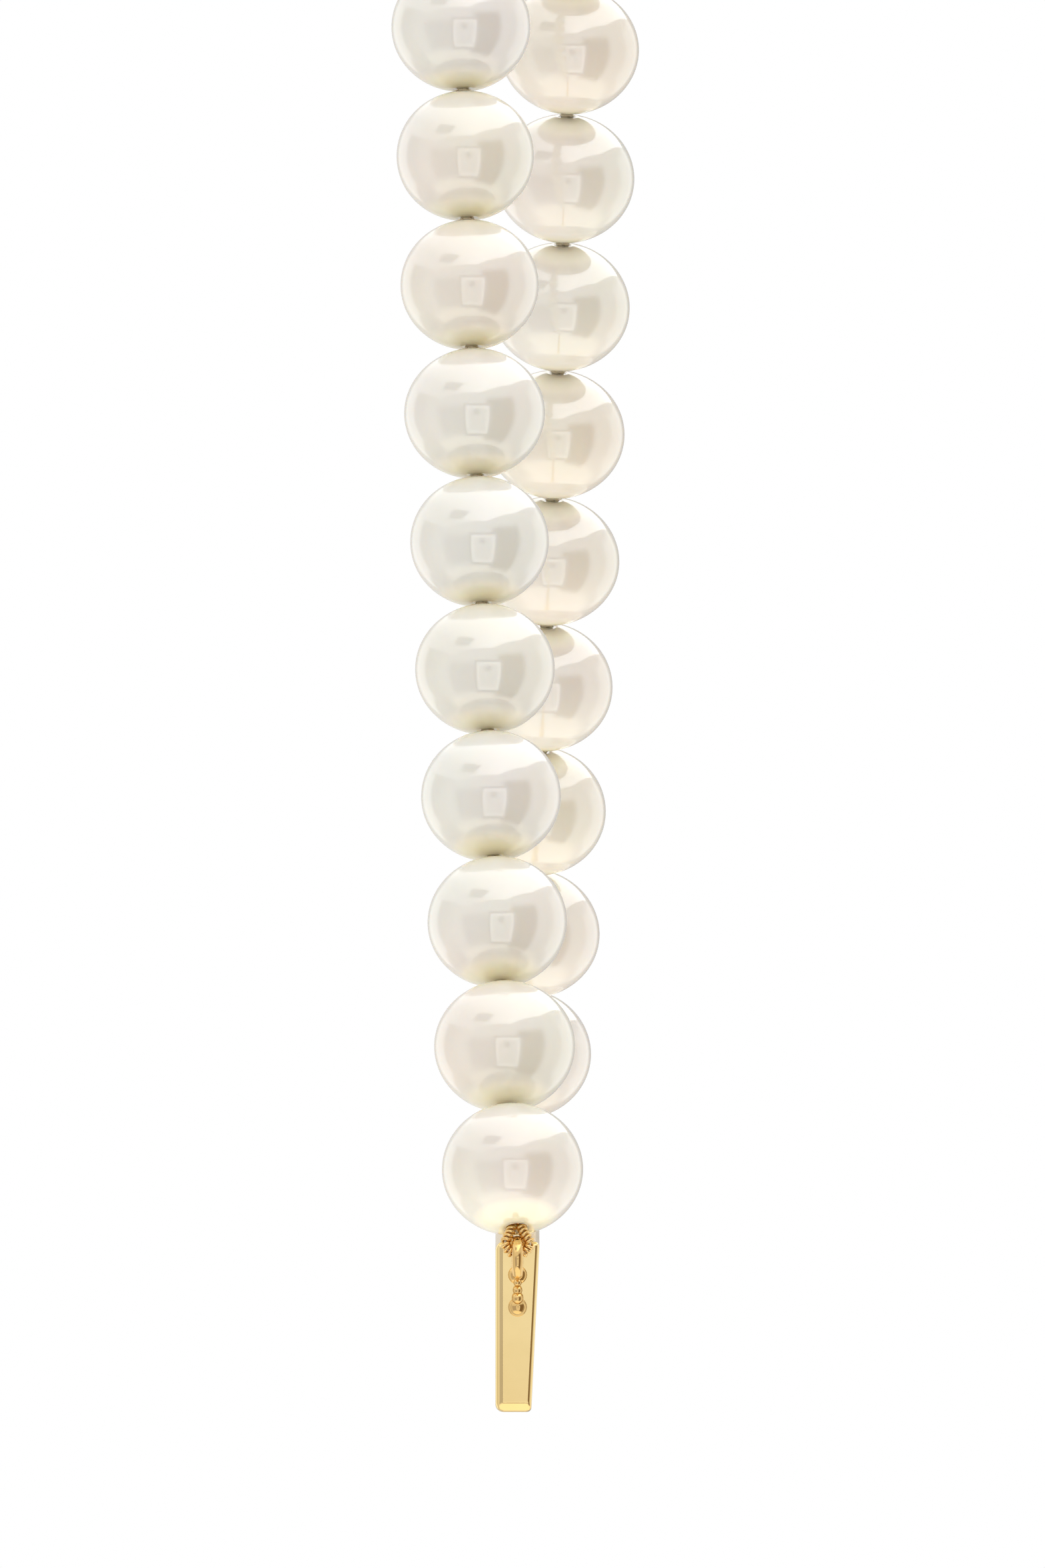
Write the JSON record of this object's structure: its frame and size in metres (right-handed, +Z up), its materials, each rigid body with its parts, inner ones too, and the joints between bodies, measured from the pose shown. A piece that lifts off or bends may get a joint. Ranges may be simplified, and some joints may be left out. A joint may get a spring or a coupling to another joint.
{
  "type": "pearl necklace",
  "caption": "Necklace of slightly flattened round pearls on silk, joined by gold wire loops to a polished gold front bar, hanging from its box clasp.",
  "frame": {"origin": "middle of the clasp, where a display clip holds the hanging necklace", "axes": "+Z up along the hang, -Y towards the front of the bar, +X towards the end of the right strand"},
  "size_m": [0.0772, 0.0198, 0.1761],
  "materials": {
    "nacre": "pearl lustre",
    "gold": "polished gold plate",
    "gimp": "coiled bright wire",
    "silk": "twisted silk"
  },
  "bodies": {
    "clasp": {"clasp_box": "gold", "clasp_tongue": "gold", "clasp_eye_right": "gold", "clasp_eye_left": "gold", "thread_right": "silk", "thread_left": "silk"},
    "spring_leaf": {"clasp_spring_leaf": "gold"},
    "right_18": {"pearl_right_18": "nacre", "jump_ring_right": "gold", "gimp_top_right": "gimp"},
    "right_17": {"pearl_right_17": "nacre"},
    "right_16": {"pearl_right_16": "nacre"},
    "right_15": {"pearl_right_15": "nacre"},
    "right_14": {"pearl_right_14": "nacre"},
    "right_13": {"pearl_right_13": "nacre"},
    "right_12": {"pearl_right_12": "nacre"},
    "right_11": {"pearl_right_11": "nacre"},
    "right_10": {"pearl_right_10": "nacre"},
    "right_09": {"pearl_right_09": "nacre"},
    "right_08": {"pearl_right_08": "nacre"},
    "right_07": {"pearl_right_07": "nacre"},
    "right_06": {"pearl_right_06": "nacre"},
    "right_05": {"pearl_right_05": "nacre"},
    "right_04": {"pearl_right_04": "nacre"},
    "right_03": {"pearl_right_03": "nacre"},
    "right_02": {"pearl_right_02": "nacre"},
    "right_01": {"pearl_right_01": "nacre", "gimp_low_right": "gimp"},
    "left_18": {"pearl_left_18": "nacre", "jump_ring_left": "gold", "gimp_top_left": "gimp"},
    "left_17": {"pearl_left_17": "nacre"},
    "left_16": {"pearl_left_16": "nacre"},
    "left_15": {"pearl_left_15": "nacre"},
    "left_14": {"pearl_left_14": "nacre"},
    "left_13": {"pearl_left_13": "nacre"},
    "left_12": {"pearl_left_12": "nacre"},
    "left_11": {"pearl_left_11": "nacre"},
    "left_10": {"pearl_left_10": "nacre"},
    "left_09": {"pearl_left_09": "nacre"},
    "left_08": {"pearl_left_08": "nacre"},
    "left_07": {"pearl_left_07": "nacre"},
    "left_06": {"pearl_left_06": "nacre"},
    "left_05": {"pearl_left_05": "nacre"},
    "left_04": {"pearl_left_04": "nacre"},
    "left_03": {"pearl_left_03": "nacre"},
    "left_02": {"pearl_left_02": "nacre"},
    "left_01": {"pearl_left_01": "nacre", "gimp_low_left": "gimp"},
    "bar": {"front_bar": "gold", "bar_ring_right": "gold", "bar_ring_left": "gold", "end_boss_right": "gold", "end_boss_left": "gold"}
  },
  "joints": [
    {"name": "right_18_sway", "type": "hinge", "parent": "clasp", "child": "right_18", "pos_m": [0, -0.0055, -0.00375], "axis": [0.9887, 0.1498, 0], "range_deg": [-15, 15], "deforming": ["thread_right", "thread_left"]},
    {"name": "right_17_level", "type": "hinge", "parent": "right_18", "child": "right_17", "pos_m": [0.0013, -0.0053, -0.01731], "axis": [0.9887, 0.1498, 0], "range_deg": [-15, 15]},
    {"name": "right_16_sway", "type": "hinge", "parent": "right_17", "child": "right_16", "pos_m": [0.00254, -0.00512, -0.02582], "axis": [0.9887, 0.1498, 0], "range_deg": [-20, 20]},
    {"name": "right_15_level", "type": "hinge", "parent": "right_16", "child": "right_15", "pos_m": [0.00383, -0.00492, -0.03432], "axis": [0.9887, 0.1498, 0], "range_deg": [-20, 20]},
    {"name": "right_14_sway", "type": "hinge", "parent": "right_15", "child": "right_14", "pos_m": [0.00517, -0.00472, -0.04281], "axis": [0.9887, 0.1498, 0], "range_deg": [-20, 20]},
    {"name": "right_13_level", "type": "hinge", "parent": "right_14", "child": "right_13", "pos_m": [0.00658, -0.0045, -0.05129], "axis": [0.9887, 0.1498, 0], "range_deg": [-20, 20]},
    {"name": "right_12_sway", "type": "hinge", "parent": "right_13", "child": "right_12", "pos_m": [0.00807, -0.00428, -0.05976], "axis": [0.9887, 0.1498, 0], "range_deg": [-20, 20]},
    {"name": "right_11_level", "type": "hinge", "parent": "right_12", "child": "right_11", "pos_m": [0.00963, -0.00404, -0.06821], "axis": [0.9887, 0.1498, 0], "range_deg": [-20, 20]},
    {"name": "right_10_sway", "type": "hinge", "parent": "right_11", "child": "right_10", "pos_m": [0.01127, -0.00379, -0.07665], "axis": [0.9887, 0.1498, 0], "range_deg": [-20, 20]},
    {"name": "right_09_level", "type": "hinge", "parent": "right_10", "child": "right_09", "pos_m": [0.01301, -0.00353, -0.08507], "axis": [0.9887, 0.1498, 0], "range_deg": [-20, 20]},
    {"name": "right_08_sway", "type": "hinge", "parent": "right_09", "child": "right_08", "pos_m": [0.01486, -0.00325, -0.09346], "axis": [0.9887, 0.1498, 0], "range_deg": [-20, 20]},
    {"name": "right_07_level", "type": "hinge", "parent": "right_08", "child": "right_07", "pos_m": [0.01683, -0.00295, -0.10183], "axis": [0.9887, 0.1498, 0], "range_deg": [-20, 20]},
    {"name": "right_06_sway", "type": "hinge", "parent": "right_07", "child": "right_06", "pos_m": [0.01893, -0.00263, -0.11016], "axis": [0.9887, 0.1498, 0], "range_deg": [-20, 20]},
    {"name": "right_05_level", "type": "hinge", "parent": "right_06", "child": "right_05", "pos_m": [0.02119, -0.00229, -0.11845], "axis": [0.9887, 0.1498, 0], "range_deg": [-20, 20]},
    {"name": "right_04_sway", "type": "hinge", "parent": "right_05", "child": "right_04", "pos_m": [0.02364, -0.00192, -0.12669], "axis": [0.9887, 0.1498, 0], "range_deg": [-20, 20]},
    {"name": "right_03_level", "type": "hinge", "parent": "right_04", "child": "right_03", "pos_m": [0.02629, -0.00152, -0.13486], "axis": [0.9887, 0.1498, 0], "range_deg": [-20, 20]},
    {"name": "right_02_sway", "type": "hinge", "parent": "right_03", "child": "right_02", "pos_m": [0.02919, -0.00108, -0.14294], "axis": [0.9887, 0.1498, 0], "range_deg": [-20, 20]},
    {"name": "right_01_level", "type": "hinge", "parent": "right_02", "child": "right_01", "pos_m": [0.03239, -0.00059, -0.15091], "axis": [0.9887, 0.1498, 0], "range_deg": [-20, 20]},
    {"name": "left_18_sway", "type": "hinge", "parent": "clasp", "child": "left_18", "pos_m": [0, 0.0055, 0.00375], "axis": [0.9887, 0.1498, 0], "range_deg": [-15, 15]},
    {"name": "left_17_level", "type": "hinge", "parent": "left_18", "child": "left_17", "pos_m": [-0.0013, 0.0053, -0.00981], "axis": [0.9887, 0.1498, 0], "range_deg": [-15, 15]},
    {"name": "left_16_sway", "type": "hinge", "parent": "left_17", "child": "left_16", "pos_m": [-0.00254, 0.00512, -0.01832], "axis": [0.9887, 0.1498, 0], "range_deg": [-20, 20]},
    {"name": "left_15_level", "type": "hinge", "parent": "left_16", "child": "left_15", "pos_m": [-0.00383, 0.00492, -0.02682], "axis": [0.9887, 0.1498, 0], "range_deg": [-20, 20]},
    {"name": "left_14_sway", "type": "hinge", "parent": "left_15", "child": "left_14", "pos_m": [-0.00517, 0.00472, -0.03531], "axis": [0.9887, 0.1498, 0], "range_deg": [-20, 20]},
    {"name": "left_13_level", "type": "hinge", "parent": "left_14", "child": "left_13", "pos_m": [-0.00658, 0.0045, -0.04379], "axis": [0.9887, 0.1498, 0], "range_deg": [-20, 20]},
    {"name": "left_12_sway", "type": "hinge", "parent": "left_13", "child": "left_12", "pos_m": [-0.00807, 0.00428, -0.05226], "axis": [0.9887, 0.1498, 0], "range_deg": [-20, 20]},
    {"name": "left_11_level", "type": "hinge", "parent": "left_12", "child": "left_11", "pos_m": [-0.00963, 0.00404, -0.06071], "axis": [0.9887, 0.1498, 0], "range_deg": [-20, 20]},
    {"name": "left_10_sway", "type": "hinge", "parent": "left_11", "child": "left_10", "pos_m": [-0.01127, 0.00379, -0.06915], "axis": [0.9887, 0.1498, 0], "range_deg": [-20, 20]},
    {"name": "left_09_level", "type": "hinge", "parent": "left_10", "child": "left_09", "pos_m": [-0.01301, 0.00353, -0.07757], "axis": [0.9887, 0.1498, 0], "range_deg": [-20, 20]},
    {"name": "left_08_sway", "type": "hinge", "parent": "left_09", "child": "left_08", "pos_m": [-0.01486, 0.00325, -0.08596], "axis": [0.9887, 0.1498, 0], "range_deg": [-20, 20]},
    {"name": "left_07_level", "type": "hinge", "parent": "left_08", "child": "left_07", "pos_m": [-0.01683, 0.00295, -0.09433], "axis": [0.9887, 0.1498, 0], "range_deg": [-20, 20]},
    {"name": "left_06_sway", "type": "hinge", "parent": "left_07", "child": "left_06", "pos_m": [-0.01893, 0.00263, -0.10266], "axis": [0.9887, 0.1498, 0], "range_deg": [-20, 20]},
    {"name": "left_05_level", "type": "hinge", "parent": "left_06", "child": "left_05", "pos_m": [-0.02119, 0.00229, -0.11095], "axis": [0.9887, 0.1498, 0], "range_deg": [-20, 20]},
    {"name": "left_04_sway", "type": "hinge", "parent": "left_05", "child": "left_04", "pos_m": [-0.02364, 0.00192, -0.11919], "axis": [0.9887, 0.1498, 0], "range_deg": [-20, 20]},
    {"name": "left_03_level", "type": "hinge", "parent": "left_04", "child": "left_03", "pos_m": [-0.02629, 0.00152, -0.12736], "axis": [0.9887, 0.1498, 0], "range_deg": [-20, 20]},
    {"name": "left_02_sway", "type": "hinge", "parent": "left_03", "child": "left_02", "pos_m": [-0.02919, 0.00108, -0.13544], "axis": [0.9887, 0.1498, 0], "range_deg": [-20, 20]},
    {"name": "left_01_level", "type": "hinge", "parent": "left_02", "child": "left_01", "pos_m": [-0.03239, 0.00059, -0.14341], "axis": [0.9887, 0.1498, 0], "range_deg": [-20, 20]},
    {"name": "bar_swing", "type": "hinge", "parent": "right_01", "child": "bar", "pos_m": [0.0363, 0, -0.1595], "axis": [0.9947, 0, -0.1028], "range_deg": [-15, 15]},
    {"name": "leaf_press", "type": "hinge", "parent": "clasp", "child": "spring_leaf", "pos_m": [0, -0.00128, -0.00089], "axis": [-1, 0, 0], "range_deg": [0, 3.5], "stiffness_Nm_per_rad": 0.02}
  ],
  "couplings": [
    {"joint": "right_17_level", "follows": "right_18_sway", "ratio": -1},
    {"joint": "right_15_level", "follows": "right_16_sway", "ratio": -1},
    {"joint": "right_13_level", "follows": "right_14_sway", "ratio": -1},
    {"joint": "right_11_level", "follows": "right_12_sway", "ratio": -1},
    {"joint": "right_09_level", "follows": "right_10_sway", "ratio": -1},
    {"joint": "right_07_level", "follows": "right_08_sway", "ratio": -1},
    {"joint": "right_05_level", "follows": "right_06_sway", "ratio": -1},
    {"joint": "right_03_level", "follows": "right_04_sway", "ratio": -1},
    {"joint": "right_01_level", "follows": "right_02_sway", "ratio": -1},
    {"joint": "left_18_sway", "follows": "right_18_sway", "ratio": 1},
    {"joint": "left_17_level", "follows": "right_18_sway", "ratio": -1},
    {"joint": "left_16_sway", "follows": "right_16_sway", "ratio": 1},
    {"joint": "left_15_level", "follows": "right_16_sway", "ratio": -1},
    {"joint": "left_14_sway", "follows": "right_14_sway", "ratio": 1},
    {"joint": "left_13_level", "follows": "right_14_sway", "ratio": -1},
    {"joint": "left_12_sway", "follows": "right_12_sway", "ratio": 1},
    {"joint": "left_11_level", "follows": "right_12_sway", "ratio": -1},
    {"joint": "left_10_sway", "follows": "right_10_sway", "ratio": 1},
    {"joint": "left_09_level", "follows": "right_10_sway", "ratio": -1},
    {"joint": "left_08_sway", "follows": "right_08_sway", "ratio": 1},
    {"joint": "left_07_level", "follows": "right_08_sway", "ratio": -1},
    {"joint": "left_06_sway", "follows": "right_06_sway", "ratio": 1},
    {"joint": "left_05_level", "follows": "right_06_sway", "ratio": -1},
    {"joint": "left_04_sway", "follows": "right_04_sway", "ratio": 1},
    {"joint": "left_03_level", "follows": "right_04_sway", "ratio": -1},
    {"joint": "left_02_sway", "follows": "right_02_sway", "ratio": 1},
    {"joint": "left_01_level", "follows": "right_02_sway", "ratio": -1}
  ]
}
